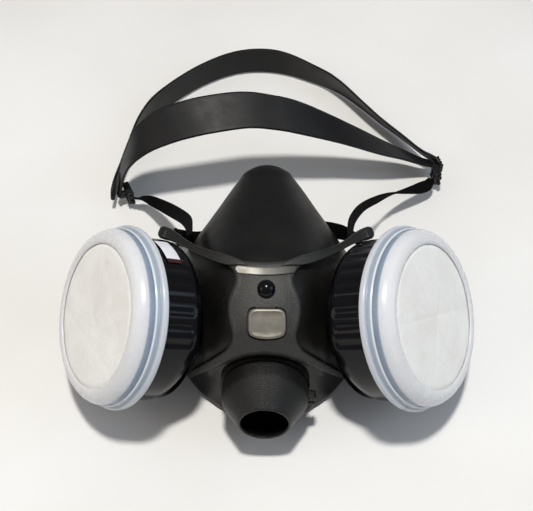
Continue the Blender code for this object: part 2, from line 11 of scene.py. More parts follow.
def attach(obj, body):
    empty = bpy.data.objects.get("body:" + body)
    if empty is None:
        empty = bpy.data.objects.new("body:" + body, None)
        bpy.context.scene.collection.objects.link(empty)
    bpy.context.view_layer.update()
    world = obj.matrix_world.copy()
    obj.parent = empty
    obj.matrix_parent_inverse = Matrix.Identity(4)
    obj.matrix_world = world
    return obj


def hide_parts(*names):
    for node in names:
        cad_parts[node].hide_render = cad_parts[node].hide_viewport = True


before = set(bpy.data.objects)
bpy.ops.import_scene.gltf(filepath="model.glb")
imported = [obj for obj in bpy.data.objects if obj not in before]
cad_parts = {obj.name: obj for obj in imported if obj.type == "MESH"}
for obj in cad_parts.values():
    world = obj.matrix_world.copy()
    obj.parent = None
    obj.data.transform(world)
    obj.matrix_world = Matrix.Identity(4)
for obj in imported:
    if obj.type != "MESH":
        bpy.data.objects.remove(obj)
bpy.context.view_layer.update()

MM = 0.001
SCALE = Matrix.Diagonal((MM, MM, MM, 1.0))

# ---- frames shared with the CAD
TO_CENTRE = -90.4  # mm, puts the middle of the whole object at y = 0
MASK_HEIGHT = 41.3
MASK_TILT = math.radians(29)
HARNESS_HEIGHT = -0.3
CARTRIDGE_TURN_OUT = math.radians(51)
VALVE_TURN_DOWN = math.radians(55)


def at(x, y, z):
    """A move in mm."""
    return Matrix.Translation(Vector((x, y, z)) * MM)


def turn(angle, axis):
    """A rotation about x, y or z."""
    return Matrix.Rotation(angle, 4, axis)


TABLE = at(0, TO_CENTRE, HARNESS_HEIGHT)
MASK = at(0, TO_CENTRE, MASK_HEIGHT) @ turn(MASK_TILT, "X")
VALVE = MASK @ at(0, -32.8, 4.7) @ turn(VALVE_TURN_DOWN, "X")
AXES = {
    "left": MASK @ at(-69.1, 0, 11.3) @ turn(-CARTRIDGE_TURN_OUT, "Y"),
    "right": MASK @ at(69.1, 0, 11.3) @ turn(CARTRIDGE_TURN_OUT, "Y"),
}
BADGE_X = 1.3
BADGE_Y = -4.6
BUTTON = MASK @ at(0.9, 11.0, 30.6) @ turn(math.radians(-3), "X")
BADGE = MASK @ at(BADGE_X, BADGE_Y, 32.2) @ turn(math.radians(9), "X")

# ---- form, in mm
# Rows run from the nose to the chin, each from the middle of the mask to its right edge.
FACE_ROWS = (
    ((0, 86, -20), (4.5, 85.6, -20.4), (8.5, 84.2, -21.6), (12, 81.6, -23.8), (15, 78, -26.2),
     (17.5, 74.5, -28.5)),
    ((0, 73.5, -9.5), (8, 72.8, -11), (14, 71, -15), (18.5, 69, -20), (22, 67, -26),
     (24.3, 65.5, -31.5)),
    ((0, 58, 3.5), (12, 57.3, 0.5), (21, 56, -6), (28, 54, -15), (32.8, 52, -25.5), (35, 50.5, -35.5)),
    ((0, 41.5, 16.5), (14.5, 40.8, 13), (27, 39.5, 4.5), (37.5, 38, -7.5), (43.6, 36.5, -22.5),
     (45, 35.5, -39)),
    ((0, 24, 29.3), (15, 23.5, 28), (28, 22, 17.5), (44, 20.5, -3), (54, 18.5, -23),
     (53.5, 17.5, -43.5)),
    ((0, 6, 32), (16.5, 6, 31), (28, 4, 19), (47, 1, -6), (60, -1, -26), (57.5, -1, -47.4)),
    ((0, -14, 31), (17, -13.5, 28), (29, -14, 16.5), (44, -14.5, -6), (55, -14, -24), (52, -13, -41.2)),
    ((0, -22, 17), (14, -22, 16), (27, -21.5, 9), (39, -21, -6), (47, -20.5, -20), (46.5, -20.5, -36.6)),
    ((0, -30, 5.2), (13, -30, 4.2), (24.5, -29, -2), (34, -28, -13), (40.5, -27.5, -22),
     (41, -27, -32.6)),
    ((0, -38.6, -7.1), (12, -38.3, -8), (22, -36.8, -12), (30.5, -34.8, -18), (36, -33, -23),
     (37, -32.5, -29.5)),
    ((0, -45.8, -13.4), (10.5, -44.3, -14.3), (19.5, -41.4, -16.7), (26.5, -39, -19.5),
     (32, -36.6, -22.8), (34, -35, -27)),
    ((0, -56, -16.8), (9, -53.8, -17.4), (17, -48.8, -19.7), (24, -43.5, -22.2), (29.5, -39.5, -24.7),
     (33, -36.3, -27)),
)
# Widths of the sealing flange that turns inwards from the edge.
SEAL_FOLD = 4.0
SEAL_WIDTH = 11.0

# The right half of the plate, from the top middle round to the bottom middle.
YOKE_OUTLINE = (
    (0, 24.2), (5, 24.4), (9, 24.9), (13, 25.8), (17, 27.2), (20.5, 28.6), (21.5, 26.0), (18.5, 23.8),
    (16.2, 22), (14.4, 19.6), (13.4, 16.5), (13.9, 13.2), (15.8, 9.5), (17.1, 5), (17.2, 0),
    (16.2, -4.5), (14.8, -9), (15, -12.5), (18, -16.3), (24, -19.4), (31, -22.4), (39, -25.6),
    (39.6, -28.5), (31, -26), (24, -24), (16, -21.2), (8, -19), (0, -18.2),
)
# Stations of the right arm: a point and half the width there.
YOKE_ARM = (
    ((8, 23.0, 28.9), 1.0), ((12, 24.1, 28.5), 1.4), ((16.5, 25.2, 26.9), 2.3), ((21, 26.7, 24.5), 2.5),
    ((26, 28.7, 21.4), 2.3), ((33, 32.0, 16.8), 1.9), ((39.5, 36.2, 12.2), 1.9), ((44, 39.4, 8.7), 2.4),
    ((48.5, 41.8, 5.4), 3.1), ((52.6, 43.6, 2.4), 3.2),
)
# Bands and straps: a point on the middle line and half the width across it, as a vector.
FRONT_BAND = (
    ((-90, 111.2, 8.6), (-0.9, 2, -0.4)), ((-88.5, 114.2, 13.5), (-0.9, 3.2, -1)),
    ((-85.7, 116.8, 25), (-1.8, 6.8, -2)), ((-80.6, 118, 35.5), (-2.2, 8.7, -1.2)),
    ((-72, 120, 47), (-4, 8.5, 2.5)), ((-60.5, 121.5, 54.5), (-5, 8.4, 4.5)),
    ((-49, 123, 58.5), (-5, 8.4, 5.3)), ((-34, 125.5, 61), (-3.5, 8.7, 6)),
    ((-12.8, 130, 60.5), (-2.5, 8.7, 6)), ((4, 132, 56.5), (-2, 8.7, 5.7)),
    ((18, 133, 51.5), (0, 9, 4.4)), ((41, 135, 39.5), (0, 9, 1.5)), ((66, 136, 25.5), (1, 8.5, -2)),
    ((80, 136.5, 18.5), (1, 7, -3)), ((91, 136.5, 13), (0.8, 4.6, -2)),
    ((98, 136.4, 10.6), (0.3, 3.6, -1.2)),
)
REAR_BAND = (
    ((-93.3, 107.6, 10.4), (0, 0.6, 2.8)), ((-93, 110.5, 11), (0, 0.8, 4.2)),
    ((-92.1, 121, 11), (0.5, -2, 6.5)), ((-90, 131, 10.8), (0.7, -3, 8.5)),
    ((-87.5, 147, 10.6), (1, -3, 9.4)), ((-81.7, 172, 10.6), (0.5, -1, 9.8)),
    ((-71, 193, 10.6), (0.3, -0.6, 9.8)), ((-46.6, 218, 10.4), (0, -0.5, 9.8)),
    ((-20.5, 232, 10.4), (0, 0, 9.8)), ((6.3, 231.5, 10.4), (0, 0, 9.8)),
    ((32.7, 217.1, 10.2), (0, -2.5, 9.5)), ((46.4, 206.4, 9.8), (-1, -3.8, 9.2)),
    ((59.1, 191, 9.4), (-1.5, -5, 8.6)), ((70.9, 175.7, 9.1), (-1.5, -5.8, 8.1)),
    ((82.5, 162.2, 9), (-1.5, -5.8, 7.5)), ((93.4, 147.6, 10), (-1.2, -4.5, 6)),
    ((99.2, 141.2, 11), (-0.5, -2.5, 4.5)), ((102.5, 136.6, 11), (0, -0.8, 4)),
    ((104.4, 131.8, 10.4), (0.3, -0.4, 2.6)),
)
STRAP_LEFT = (
    ((-38.3, 34.6, 64.3), (1.5, -1.3, 3.2)), ((-39.3, 44.9, 57.3), (1.8, -1, 3.2)),
    ((-43.1, 61.2, 45.3), (2.8, 0.6, 2.5)), ((-51.7, 79.4, 30.3), (2.6, 2, 1.9)),
    ((-61.4, 94.3, 19.3), (1.8, 3.3, 0.5)), ((-69.7, 103.9, 12.8), (0.4, 3.8, -0.1)),
    ((-74.8, 107.9, 10.3), (-0.2, 3.3, -1.9)), ((-78.5, 108.6, 9.4), (-0.1, 2.5, -2.9)),
)
STRAP_RIGHT = (
    ((41.7, 34.4, 64.3), (-1.4, -1.8, 3)), ((42.5, 42.8, 59.3), (-1.6, -1.7, 3)),
    ((45.1, 57.8, 50.3), (-1.9, -0.9, 3.1)), ((51.4, 74.5, 40.3), (-1.9, -0.5, 3.2)),
    ((60.8, 89.1, 30.3), (-1.2, -0.7, 3.6)), ((70.2, 100.5, 22.3), (-0.1, -1.9, 3.3)),
    ((80.2, 108.8, 15.8), (0.1, -3.4, 1.7)), ((90.2, 115.5, 11.3), (0.3, -3.6, -1.2)),
    ((95.6, 120, 9.3), (1.6, -3.4, -0.3)), ((98.2, 125, 8.9), (1.2, -2.9, 2)),
)
NECK_STRAP = (
    ((-44, 41.5, 2), (-0.6, 3.6, 2)), ((-46.5, 43.5, -12), (-0.8, 4.4, 1.2)),
    ((-46.5, 46, -28), (-0.8, 4.6, 0.6)), ((-38, 47.5, -43), (0, 4.6, 1)),
    ((-20, 50.5, -47.5), (0, 4.6, 0.6)), ((0, 53, -48.5), (0, 4.6, 0.6)),
    ((25, 54, -44.5), (0, 4.6, 0.6)), ((40, 49.5, -30), (-1, 4.2, 0.6)),
    ((46.6, 43.2, -14), (-1, 3.2, 1)), ((47.4, 41.2, 0.2), (-0.6, 3.2, 2.2)),
)
# The visual front band and left strap run a little further, into their buckles.
FRONT_BAND_END = ((100.2, 134.9, 10.4), (0.2, 2.5, -1.2))
STRAP_LEFT_END = ((-82.0, 109.7, 8.9), (0, 1.7, -2.5))
# Side, place, turn in degrees and length.
BUCKLES = (("left", (-84.2, 113.6, 8.7), 25, 11.0), ("right", (101.1, 128.6, 9.2), 10, 9.4))


# ---- piece helpers
def mesh_from(work, name):
    """A mesh made from a bmesh, which is freed."""
    mesh = bpy.data.meshes.new(name)
    work.to_mesh(mesh)
    work.free()
    return mesh


def add_object(name, data):
    """A new object in the scene."""
    holder = bpy.data.objects.new(name, data)
    bpy.context.scene.collection.objects.link(holder)
    return holder


def finish_piece(name, work, place, look, body, node, sharp=38.0):
    """Turn a bmesh in mm into a piece that rides on a body and stands for one CAD node."""
    bmesh.ops.recalc_face_normals(work, faces=work.faces)
    mesh = mesh_from(work, name)
    mesh.transform(place @ SCALE)
    mesh.materials.append(look)
    mesh.shade_smooth()
    mesh.set_sharp_from_angle(angle=math.radians(sharp))
    piece = add_object(name, mesh)
    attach(piece, body)
    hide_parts(node)
    return piece


def soften(corners, radius, cuts=3, closed=True):
    """Round the corners of an outline with short curves."""
    found = []
    count = len(corners)
    for i, corner in enumerate(corners):
        here = Vector(corner)
        if not closed and i in (0, count - 1):
            found.append(here)
            continue
        before = Vector(corners[i - 1])
        after = Vector(corners[(i + 1) % count])
        reach_in = min(radius, (before - here).length * 0.45)
        reach_out = min(radius, (after - here).length * 0.45)
        start = here + (before - here).normalized() * reach_in
        end = here + (after - here).normalized() * reach_out
        for k in range(cuts + 1):
            t = k / cuts
            found.append(start * (1 - t) ** 2 + here * 2 * t * (1 - t) + end * t * t)
    return found


def revolve(work, profile, segments=144, shape=None):
    """Turn a closed (radius, height) loop about z; shape may move each ring point."""
    rings = []
    for radius, height in profile:
        if radius < 1e-6:
            rings.append([work.verts.new((0, 0, height))])
            continue
        ring = []
        for k in range(segments):
            angle = 2 * math.pi * k / segments
            r, h = (radius, height) if shape is None else shape(radius, height, angle)
            ring.append(work.verts.new((r * math.cos(angle), r * math.sin(angle), h)))
        rings.append(ring)
    poles = len(rings[0]) == 1 and len(rings[-1]) == 1
    for i in range(len(rings) - 1 if poles else len(rings)):
        a, b = rings[i], rings[(i + 1) % len(rings)]
        for k in range(segments):
            n = (k + 1) % segments
            if len(a) == 1:
                work.faces.new((a[0], b[k], b[n]))
            elif len(b) == 1:
                work.faces.new((a[k], b[0], a[n]))
            else:
                work.faces.new((a[k], b[k], b[n], a[n]))
    return work


def catmull_rom(a, b, c, d, t):
    """The point between b and c on a smooth curve through four."""
    return 0.5 * (
        2 * b + (c - a) * t + (2 * a - 5 * b + 4 * c - d) * t * t + (3 * b - a - 3 * c + d) * t * t * t
    )


def resample(stations, steps):
    """Points and half widths along one smooth curve through the stations."""
    pairs = [(Vector(centre), Vector(half)) for centre, half in stations]
    found = []
    for i in range(len(pairs) - 1):
        four = [pairs[max(i - 1, 0)], pairs[i], pairs[i + 1], pairs[min(i + 2, len(pairs) - 1)]]
        for k in range(steps):
            centre = catmull_rom(*[item[0] for item in four], k / steps)
            half = catmull_rom(*[item[1] for item in four], k / steps)
            found.append((centre, half))
    found.append(pairs[-1])
    return found


def strip_into(work, stations, thickness, steps, across, relief=None, ends=(0.0, 0.0)):
    """A closed flat strip with rounded edges.

    relief(u, run, total) adds to the half thickness at u, from -1 to 1 across, run mm along.
    ends are the lengths over which each end is rounded off in plan.
    """
    flat = work.verts.layers.float_vector.get("flat") or work.verts.layers.float_vector.new("flat")
    rows = resample(stations, steps)
    runs = [0.0]
    for near, far in zip(rows, rows[1:]):
        runs.append(runs[-1] + (far[0] - near[0]).length)
    total = runs[-1]
    loops = []
    for i, (centre, half) in enumerate(rows):
        ahead = rows[min(i + 1, len(rows) - 1)][0] - rows[max(i - 1, 0)][0]
        normal = half.cross(ahead).normalized()
        width = 1.0
        for near_end, length in ((runs[i], ends[0]), (total - runs[i], ends[1])):
            if length and near_end < length:
                width *= max(1 - (1 - near_end / length) ** 2, 0.04) ** 0.5
        ring = []
        for face in (1, -1):
            for k in range(across + 1):
                u = (2 * k / across - 1) * face
                lift = thickness / 2 * max(1 - abs(u) ** 10, 0.02) ** 0.5
                if relief:
                    lift += relief(u, runs[i], total)
                vert = work.verts.new(centre + half * (u * width) + normal * (lift * face))
                vert[flat] = (u * half.length, runs[i], 0.0)
                ring.append(vert)
        loops.append(ring)
    count = len(loops[0])
    for near, far in zip(loops, loops[1:]):
        for k in range(count):
            n = (k + 1) % count
            work.faces.new((near[k], near[n], far[n], far[k]))
    work.faces.new(loops[0])
    work.faces.new(list(reversed(loops[-1])))
    return work


def rounded_box_into(work, size, place, edge):
    """A box in mm with rounded edges, placed by a matrix in mm."""
    before = set(work.verts)
    bmesh.ops.create_cube(work, size=1.0, matrix=Matrix.Diagonal((*size, 1.0)))
    edges = {e for v in work.verts if v not in before for e in v.link_edges}
    bmesh.ops.bevel(work, geom=list(edges), offset=edge, segments=3, profile=0.5, affect="EDGES",
                    clamp_overlap=True)
    new = [v for v in work.verts if v not in before]
    bmesh.ops.transform(work, matrix=place, verts=new)


def move(x, y, z):
    """A move in plain mm, for points that aren't scaled yet."""
    return Matrix.Translation((x, y, z))


# ---- material helpers
class Look:
    """One Principled material with procedural detail."""

    def __init__(self, name, colour, roughness, metallic=0.0, specular=0.5, coat=0.0, coat_roughness=0.1,
                 sheen=0.0):
        self.material = bpy.data.materials.new(name)
        self.material.use_nodes = True
        self.tree = self.material.node_tree
        self.shader = self.tree.nodes["Principled BSDF"]
        values = {
            "Base Color": (*colour, 1.0), "Roughness": roughness, "Metallic": metallic,
            "Specular IOR Level": specular, "Coat Weight": coat, "Coat Roughness": coat_roughness,
            "Sheen Weight": sheen,
        }
        for entry, value in values.items():
            self.shader.inputs[entry].default_value = value
        self.place = self.node("ShaderNodeTexCoord")
        self.height = None

    def node(self, kind, **values):
        made = self.tree.nodes.new(kind)
        for key, value in values.items():
            setattr(made, key, value)
        return made

    def link(self, output, entry):
        self.tree.links.new(output, entry)

    def noise(self, scale, detail, rough, stretch=None):
        """A noise value between 0 and 1, in object space."""
        made = self.node("ShaderNodeTexNoise")
        made.inputs["Scale"].default_value = scale
        made.inputs["Detail"].default_value = detail
        made.inputs["Roughness"].default_value = rough
        start = self.place.outputs["Object"]
        if stretch:
            mapping = self.node("ShaderNodeMapping")
            mapping.inputs["Scale"].default_value = stretch
            self.link(start, mapping.inputs["Vector"])
            start = mapping.outputs["Vector"]
        self.link(start, made.inputs["Vector"])
        return made.outputs["Fac"]

    def ramp(self, value, stops):
        """A colour ramp over a value; stops are (position, colour or grey)."""
        made = self.node("ShaderNodeValToRGB")
        ramp = made.color_ramp
        while len(ramp.elements) < len(stops):
            ramp.elements.new(0.5)
        for element, (position, colour) in zip(ramp.elements, stops):
            element.position = position
            grey = isinstance(colour, (int, float))
            element.color = (colour, colour, colour, 1.0) if grey else (*colour, 1.0)
        self.link(value, made.inputs["Fac"])
        return made.outputs["Color"]

    def math(self, operation, first, second):
        made = self.node("ShaderNodeMath", operation=operation)
        for entry, value in zip(made.inputs, (first, second)):
            if isinstance(value, (int, float)):
                entry.default_value = value
            else:
                self.link(value, entry)
        return made.outputs["Value"]

    def blend(self, share, first, second):
        """Mix two colours by a value."""
        made = self.node("ShaderNodeMix", data_type="RGBA")
        self.link(share, made.inputs["Factor"])
        for name, value in (("A", first), ("B", second)):
            entry = [i for i in made.inputs if i.name == name and i.type == "RGBA"][0]
            if isinstance(value, tuple):
                entry.default_value = (*value, 1.0)
            else:
                self.link(value, entry)
        return [o for o in made.outputs if o.type == "RGBA"][0]

    def colour(self, output):
        self.link(output, self.shader.inputs["Base Color"])

    def roughness(self, output):
        self.link(output, self.shader.inputs["Roughness"])

    def bump(self, value, distance, strength=1.0):
        """Add one layer of relief, distance in metres."""
        made = self.node("ShaderNodeBump")
        made.inputs["Strength"].default_value = strength
        made.inputs["Distance"].default_value = distance
        self.link(value, made.inputs["Height"])
        if self.height is not None:
            self.link(self.height, made.inputs["Normal"])
        self.height = made.outputs["Normal"]
        self.link(self.height, self.shader.inputs["Normal"])

    def sideways(self, centre, reach):
        """The x position in object space, 0 to 1 across the reach (both in metres) around the centre."""
        moved = self.math("SUBTRACT", self.split(self.place.outputs["Object"])["X"], centre - reach / 2)
        return self.math("DIVIDE", moved, reach)

    def split(self, vector):
        """The X, Y and Z outputs of a vector."""
        made = self.node("ShaderNodeSeparateXYZ")
        self.link(vector, made.inputs["Vector"])
        return made.outputs

    def attribute(self, name):
        """The outputs of a value in mm that is stored on the mesh."""
        return self.node("ShaderNodeAttribute", attribute_type="GEOMETRY", attribute_name=name).outputs

    def flat(self):
        """The positions across (X) and along (Y) a strip."""
        return self.split(self.attribute("flat")["Vector"])


def rubber(name, dark, light, rough_low, rough_high, sheen=0.15):
    """Moulded rubber: faint cloudy bloom, dust specks and a fine satin grain."""
    look = Look(name, dark, 0.5, specular=0.24, sheen=sheen)
    cloud = look.noise(38, 6, 0.6)
    look.colour(look.blend(look.ramp(cloud, ((0.3, 0.0), (0.72, 1.0))), dark, light))
    handled = look.noise(120, 5, 0.65)
    look.roughness(look.ramp(handled, ((0.25, rough_low), (0.8, rough_high))))
    look.bump(look.noise(2600, 3, 0.6), 0.00005, 0.5)
    look.bump(look.noise(220, 4, 0.5), 0.00012, 0.35)
    return look.material


def grained_plastic(name, dark, light, grain, depth, rough, arms_darker=False):
    """Spark-textured hard plastic, darker towards the arms if asked."""
    look = Look(name, dark, rough, specular=0.36)
    cloud = look.noise(60, 5, 0.6)
    speck = look.noise(grain, 2, 0.7)
    mixed = look.blend(look.ramp(cloud, ((0.3, 0.0), (0.7, 1.0))), dark, light)
    bright = tuple(c * 1.9 for c in light)
    speckled = look.blend(look.ramp(speck, ((0.45, 0.0), (0.7, 0.55))), mixed, bright)
    if arms_darker:
        # Blended towards near black from about 14 mm to 28 mm out either side of the middle, over the arms
        # and the outer plate.
        reach = look.sideways(0.0012, 0.1)
        darkened = look.ramp(reach, ((0.22, 0.72), (0.36, 0.0), (0.64, 0.0), (0.78, 0.72)))
        speckled = look.blend(darkened, speckled, (0.004, 0.004, 0.004))
    look.colour(speckled)
    look.roughness(look.ramp(speck, ((0.3, rough - 0.08), (0.75, rough + 0.12))))
    look.bump(speck, depth, 0.8)
    return look.material


def glossy_black(name):
    """Injection-moulded gloss with faint flow marks, dust and handling haze."""
    look = Look(name, (0.0022, 0.0022, 0.003), 0.14, specular=0.2, coat=0.07, coat_roughness=0.05)
    haze = look.noise(90, 6, 0.7)
    look.roughness(look.ramp(haze, ((0.35, 0.1), (0.75, 0.22))))
    dust = look.noise(900, 2, 0.5)
    look.colour(look.blend(look.ramp(dust, ((0.7, 0.0), (0.78, 0.25))), (0.0022, 0.0022, 0.0032),
                           (0.02, 0.02, 0.024)))
    look.bump(look.noise(160, 3, 0.5), 0.00008, 0.25)
    return look.material


def hard_black(name):
    """Plain moulded black plastic, for hooks, rings and grilles."""
    look = Look(name, (0.005, 0.005, 0.005), 0.42, specular=0.3)
    haze = look.noise(150, 5, 0.6)
    look.colour(look.ramp(haze, ((0.3, (0.0036, 0.0036, 0.004)), (0.75, (0.009, 0.009, 0.01)))))
    look.roughness(look.ramp(haze, ((0.3, 0.34), (0.75, 0.52))))
    look.bump(look.noise(1500, 3, 0.6), 0.00004, 0.5)
    return look.material


def elastic(name, pitch, depth):
    """Woven elastic: lengthwise cords crossed by fine picks, with painted shade in the grooves between
    them.
    """
    look = Look(name, (0.004, 0.004, 0.004), 0.8, specular=0.06, sheen=0.0)
    place = look.flat()
    cords = look.math("SINE", look.math("MULTIPLY", place["X"], 2 * math.pi / pitch), 0.0)
    picks = look.math("SINE", look.math("MULTIPLY", place["Y"], 2 * math.pi / (pitch * 0.62)), 0.0)
    weave = look.math("ADD", look.math("MULTIPLY", cords, 0.5), look.math("MULTIPLY", picks, 0.28))
    level = look.math("ADD", weave, 0.5)
    fuzz = look.noise(1800, 3, 0.7)
    # Painted shade: the weave's grooves are coloured darker than its raised threads.
    raised = look.ramp(level, ((0.05, 0.0), (0.95, 1.0)))
    tone = look.blend(raised, (0.001, 0.001, 0.0011), (0.0045, 0.0044, 0.0047))
    look.colour(look.blend(look.ramp(fuzz, ((0.55, 0.0), (0.8, 0.6))), tone, (0.008, 0.008, 0.0085)))
    look.roughness(look.ramp(fuzz, ((0.3, 0.7), (0.8, 0.92))))
    look.bump(level, depth, 0.8)
    look.bump(fuzz, 0.00004, 0.5)
    return look.material


def milky_plastic(name):
    """Translucent ring: milky where it's thick, slate blue where the dark shell shows through."""
    look = Look(name, (0.66, 0.67, 0.69), 0.3, specular=0.35, coat=0.12, coat_roughness=0.12)
    along = look.math("DIVIDE", look.attribute("along")["Fac"], 16.0)
    depth = look.ramp(along, (
        (0.0, (0.5, 0.53, 0.58)), (0.08, (0.6, 0.62, 0.66)), (0.2, (0.56, 0.6, 0.66)),
        (0.235, (0.3, 0.36, 0.44)), (0.34, (0.36, 0.42, 0.5)), (0.365, (0.7, 0.74, 0.8)),
        (0.385, (0.7, 0.74, 0.8)), (0.41, (0.17, 0.22, 0.3)), (0.56, (0.24, 0.3, 0.39)),
        (0.6, (0.6, 0.62, 0.66)), (0.8, (0.66, 0.67, 0.7)), (0.95, (0.66, 0.665, 0.68)),
    ))
    cloud = look.noise(70, 5, 0.6)
    look.colour(look.blend(look.ramp(cloud, ((0.3, 0.0), (0.75, 0.07))), depth, (0.6, 0.62, 0.66)))
    clear = look.ramp(along, ((0.0, 0.86), (0.3, 0.9), (0.5, 0.92), (0.62, 0.985), (0.9, 0.98)))
    look.link(clear, look.shader.inputs["Alpha"])
    look.roughness(look.ramp(look.noise(140, 4, 0.6), ((0.3, 0.2), (0.75, 0.36))))
    look.bump(look.noise(260, 3, 0.5), 0.00003, 0.3)
    return look.material


def fibre(name):
    """Pressed white filter paper with soft fibres."""
    look = Look(name, (0.8, 0.8, 0.78), 0.75, specular=0.3, sheen=0.2)
    cloud = look.noise(45, 6, 0.6)
    fleck = look.noise(900, 5, 0.7, stretch=(1, 1, 0.35))
    tone = look.ramp(cloud, ((0.25, (0.72, 0.71, 0.68)), (0.75, (0.86, 0.86, 0.85))))
    look.colour(look.blend(look.ramp(fleck, ((0.35, 0.0), (0.75, 0.35))), tone, (0.62, 0.61, 0.58)))
    look.roughness(look.ramp(fleck, ((0.3, 0.62), (0.7, 0.85))))
    look.bump(fleck, 0.00008, 0.6)
    look.bump(look.noise(160, 5, 0.6), 0.0003, 0.4)
    return look.material


def satin_metal(name, colour, darkened=False):
    """Thin foil plate: brushed along x, a little tarnished, and, if asked, given a painted reflection:
    bright and metallic at the -x end, near black and dull towards +x.
    """
    look = Look(name, colour, 0.45, metallic=0.6, specular=0.4)
    brush = look.noise(500, 3, 0.6, stretch=(0.08, 1, 1))
    stain = look.noise(140, 6, 0.65)
    tone = look.blend(look.ramp(stain, ((0.3, 0.0), (0.75, 1.0))), colour, tuple(c * 0.62 for c in colour))
    if darkened:
        # Painted reflection: the colour fades to near black and the metal to dull towards +x, so only the
        # -x end looks lit.
        across = look.sideways(0.0015, 0.03)
        painted_reflection = look.ramp(across, ((0.24, 0.0), (0.44, 0.72), (0.9, 0.95)))
        tone = look.blend(painted_reflection, tone, (0.02, 0.02, 0.019))
        look.link(look.ramp(across, ((0.25, 0.75), (0.5, 0.1))), look.shader.inputs["Metallic"])
    look.colour(tone)
    look.roughness(look.ramp(brush, ((0.3, 0.36), (0.7, 0.58))))
    look.bump(brush, 0.00004, 0.5)
    return look.material


def charcoal(name):
    """Loose granules of activated carbon."""
    look = Look(name, (0.012, 0.012, 0.012), 0.9, specular=0.3)
    grains = look.node("ShaderNodeTexVoronoi")
    grains.inputs["Scale"].default_value = 900
    look.link(look.place.outputs["Object"], grains.inputs["Vector"])
    away = grains.outputs["Distance"]
    look.colour(look.ramp(away, ((0.1, 0.03), (0.7, 0.006))))
    look.bump(away, 0.0006, 0.9)
    return look.material


def printed_label(name):
    """Blank coated label stock with a slight edge stain and a dark red end strip."""
    look = Look(name, (0.78, 0.8, 0.84), 0.4, specular=0.5)
    stain = look.noise(260, 5, 0.65)
    paper = look.ramp(stain, ((0.3, (0.7, 0.72, 0.77)), (0.75, (0.84, 0.86, 0.9))))
    end = look.ramp(look.math("DIVIDE", look.flat()["Y"], 18.0), ((0.13, 1.0), (0.15, 0.0)))
    look.colour(look.blend(end, paper, (0.035, 0.004, 0.004)))
    look.roughness(look.ramp(stain, ((0.3, 0.32), (0.75, 0.5))))
    look.bump(look.noise(1400, 3, 0.5), 0.00003, 0.4)
    return look.material


FACE_RUBBER = rubber("face_rubber_look", (0.0026, 0.0025, 0.0025), (0.0085, 0.0079, 0.0073),
                     0.34, 0.48, 0.0)
BAND_RUBBER = rubber("band_rubber_look", (0.0045, 0.0045, 0.0051), (0.0095, 0.0093, 0.0102),
                     0.4, 0.56, 0.0)
FLAP_RUBBER = rubber("flap_rubber_look", (0.012, 0.012, 0.013), (0.02, 0.02, 0.021), 0.4, 0.6)
YOKE_PLASTIC = grained_plastic("yoke_plastic_look", (0.019, 0.019, 0.018), (0.03, 0.03, 0.028),
                               1500, 0.00022, 0.5, True)
COVER_PLASTIC = grained_plastic("cover_plastic_look", (0.003, 0.0029, 0.0029), (0.0062, 0.006, 0.0059),
                                1500, 0.0006, 0.36)
GLOSS_BLACK = glossy_black("gloss_black_look")
HARD_BLACK = hard_black("hard_black_look")
ELASTIC = elastic("elastic_look", 0.9, 0.00012)
NECK_ELASTIC = elastic("neck_elastic_look", 1.3, 0.00018)
CAP_PLASTIC = milky_plastic("cap_plastic_look")
FIBRE = fibre("filter_fibre_look")
BADGE_METAL = satin_metal("badge_metal_look", (0.26, 0.24, 0.205))
STRIP_METAL = satin_metal("strip_metal_look", (0.66, 0.64, 0.57), True)
CHARCOAL = charcoal("charcoal_look")
LABEL = printed_label("label_look")


# ---- facepiece
WALL = 2.0
# Radii: each inlet's hole and the rim round it, then the valve's hole.
INLET_BORE = 17
INLET_RIM = 30.5
VALVE_BORE = 15.6
NOSE_RIDGE = 79.5  # how far up the nose the ridge crosses it


def seal_step(point, reach):
    """A point of the sealing flange, some way in from the edge and following the face."""
    x, y, z = point
    inward = Vector((-x, 10 - y, 0))
    inward.normalize()
    to_nose = min(max((y - 20) / 60, 0.0), 1.0)
    to_chin = min(max((-y - 20) / 30, 0.0), 1.0)
    drop = (3.0 - 7.0 * to_nose - 7.5 * to_chin) * reach / SEAL_WIDTH
    return (x + inward.x * reach, y + inward.y * reach, z + drop)


def face_cage():
    """The coarse right half of the outer skin with its sealing flange, in metres."""
    work = bmesh.new()
    rows = [[work.verts.new(Vector(point) * MM) for point in row] for row in FACE_ROWS]
    for near, far in zip(rows, rows[1:]):
        for i in range(len(near) - 1):
            work.faces.new((near[i], far[i], far[i + 1], near[i + 1]))
    lip = rows[0] + [row[-1] for row in rows[1:-1]] + list(reversed(rows[-1]))
    edge = lip
    for reach in (SEAL_FOLD, SEAL_WIDTH):
        step = [work.verts.new(Vector(seal_step(vert.co / MM, reach)) * MM) for vert in lip]
        for i in range(len(lip) - 1):
            work.faces.new((edge[i], edge[i + 1], step[i + 1], step[i]))
        edge = step
    bmesh.ops.recalc_face_normals(work, faces=work.faces)
    return mesh_from(work, "face_cage")


def evaluated(holder):
    """The mesh of an object with its modifiers applied."""
    seen = holder.evaluated_get(bpy.context.evaluated_depsgraph_get())
    return bpy.data.meshes.new_from_object(seen)


def face_skin():
    """The smooth outer skin of the whole facepiece, in mask space."""
    holder = add_object("face_skin", face_cage())
    other = holder.modifiers.new("other_half", "MIRROR")
    other.use_clip = True
    other.merge_threshold = 0.0001
    smooth = holder.modifiers.new("round", "SUBSURF")
    smooth.levels = 3
    smooth.render_levels = 3
    mesh = evaluated(holder)
    bpy.data.objects.remove(holder, do_unlink=True)
    return mesh


